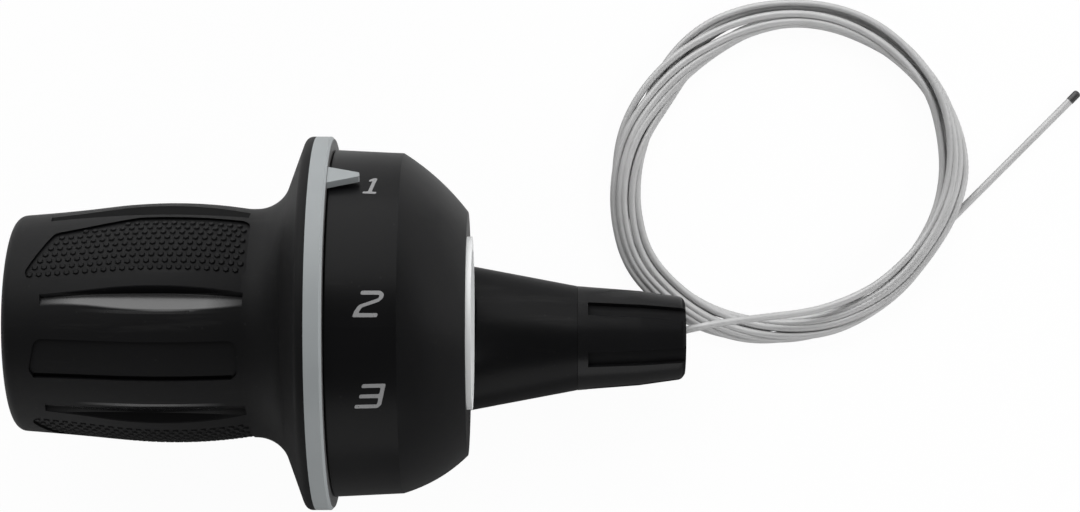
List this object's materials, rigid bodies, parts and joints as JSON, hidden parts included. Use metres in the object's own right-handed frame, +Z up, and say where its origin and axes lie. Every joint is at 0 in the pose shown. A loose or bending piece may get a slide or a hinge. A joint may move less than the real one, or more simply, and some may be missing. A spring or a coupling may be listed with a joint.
{
  "type": "twist grip shifter",
  "caption": "Handlebar twist grip shifter with a rubber grip, a pointer ring over a numbered housing, a barrel adjuster on the cable port, and a coiled steel inner cable.",
  "frame": {"origin": "on the handlebar seat's axis, at the plane where the pointer ring meets the housing", "axes": "+X along the handlebar from the grip's outer end towards the stem and the cable port, +Z up from the table that it lies on"},
  "size_m": [0.1658, 0.0797, 0.0564],
  "materials": {
    "grip_rubber": "matte moulded rubber",
    "black_nylon": "moulded nylon",
    "ring_grey": "satin grey moulding",
    "white_acetal": "natural acetal",
    "spring_steel": "spring steel",
    "housing_black": "satin black moulding",
    "sleeve_grey": "light grey nylon",
    "brass": "plain brass",
    "adjuster_black": "satin black moulding",
    "seal_rubber": "rubber",
    "cable_steel": "stranded steel wire",
    "cable_solder": "fused wire end"
  },
  "bodies": {
    "housing": {"housing": "housing_black", "bar_sleeve": "sleeve_grey", "detent_spring": "spring_steel", "retaining_clip": "spring_steel", "glide_washer": "white_acetal", "clamp_pad": "white_acetal", "clamp_screw": "spring_steel", "clamp_insert": "brass", "cable_guide": "white_acetal", "cable_inner": "cable_steel", "cable_lead": "cable_steel", "cable_coil": "cable_steel", "cable_tail": "cable_steel", "cable_tip": "cable_solder"},
    "grip": {"grip_rubber": "grip_rubber", "grip_core": "black_nylon", "indicator_ring": "ring_grey", "cable_spool": "white_acetal", "cable_head": "cable_steel", "cable_wrap": "cable_steel"},
    "adjuster_seal": {"adjuster_o_ring": "seal_rubber"},
    "adjuster": {"barrel_adjuster": "adjuster_black"}
  },
  "joints": [
    {"name": "grip_twist", "type": "hinge", "parent": "housing", "child": "grip", "pos_m": [0, 0, 0], "axis": [1, 0, 0], "range_deg": [0, 76], "deforming": ["detent_spring"]},
    {"name": "adjuster_travel", "type": "slide", "parent": "housing", "child": "adjuster_seal", "axis": [1, 0, 0], "range_m": [0, 0.003]},
    {"name": "adjuster_turn", "type": "hinge", "parent": "adjuster_seal", "child": "adjuster", "pos_m": [0.045, -0.00285, -0.01979], "axis": [1, 0, 0], "range_deg": [0, 1080]}
  ],
  "couplings": [
    {"joint": "adjuster_turn", "follows": "adjuster_travel", "rad_per_m": 6283}
  ]
}
